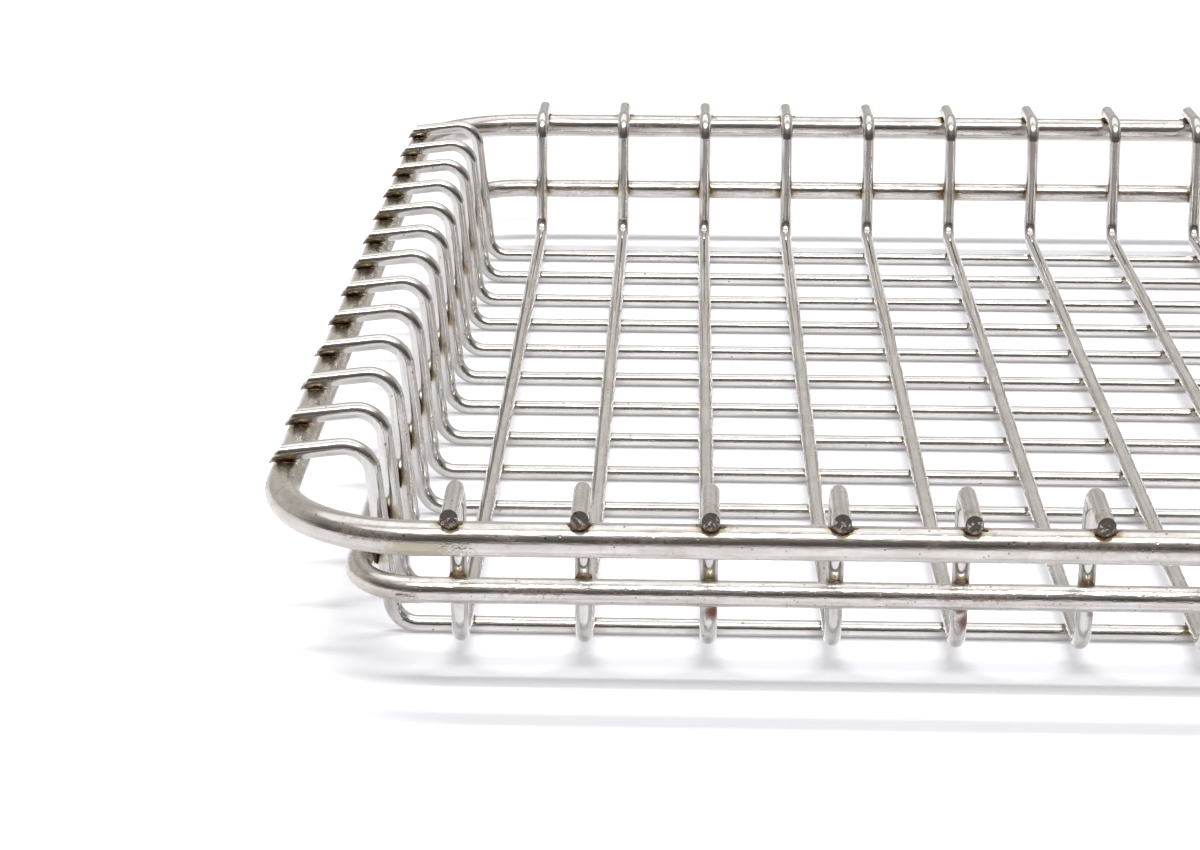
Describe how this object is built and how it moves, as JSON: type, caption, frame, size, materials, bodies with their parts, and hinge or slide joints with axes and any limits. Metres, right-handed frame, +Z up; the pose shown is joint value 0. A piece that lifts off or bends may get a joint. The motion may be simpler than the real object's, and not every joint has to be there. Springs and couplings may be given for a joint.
{
  "type": "wire sterilization tray",
  "caption": "Shallow open tray of welded stainless wire mesh, with a thick rim rod and a belt rod round its walls, for holding instruments in a sterilizer.",
  "frame": {"origin": "middle of the tray on the surface that it stands on", "axes": "+X along the long side, +Y from the front to the back, +Z up, out of the tray's open top"},
  "size_m": [0.2944, 0.1912, 0.022],
  "materials": {
    "wire": "drawn stainless wire, bright, with fine draw lines and heat tint at the welds",
    "rod": "polished stainless rod with fine scratches and heat tint at the welds"
  },
  "bodies": {
    "root": {"rim_rod": "rod", "belt_rod": "rod", "row_wire_01": "wire", "row_wire_02": "wire", "row_wire_03": "wire", "row_wire_04": "wire", "row_wire_05": "wire", "row_wire_06": "wire", "row_wire_07": "wire", "row_wire_08": "wire", "row_wire_09": "wire", "row_wire_10": "wire", "row_wire_11": "wire", "row_wire_12": "wire", "row_wire_13": "wire", "column_wire_01": "wire", "column_wire_02": "wire", "column_wire_03": "wire", "column_wire_04": "wire", "column_wire_05": "wire", "column_wire_06": "wire", "column_wire_07": "wire", "column_wire_08": "wire", "column_wire_09": "wire", "column_wire_10": "wire", "column_wire_11": "wire", "column_wire_12": "wire", "column_wire_13": "wire", "column_wire_14": "wire", "column_wire_15": "wire", "column_wire_16": "wire", "column_wire_17": "wire", "column_wire_18": "wire", "column_wire_19": "wire", "column_wire_20": "wire", "column_wire_21": "wire"}
  },
  "joints": []
}
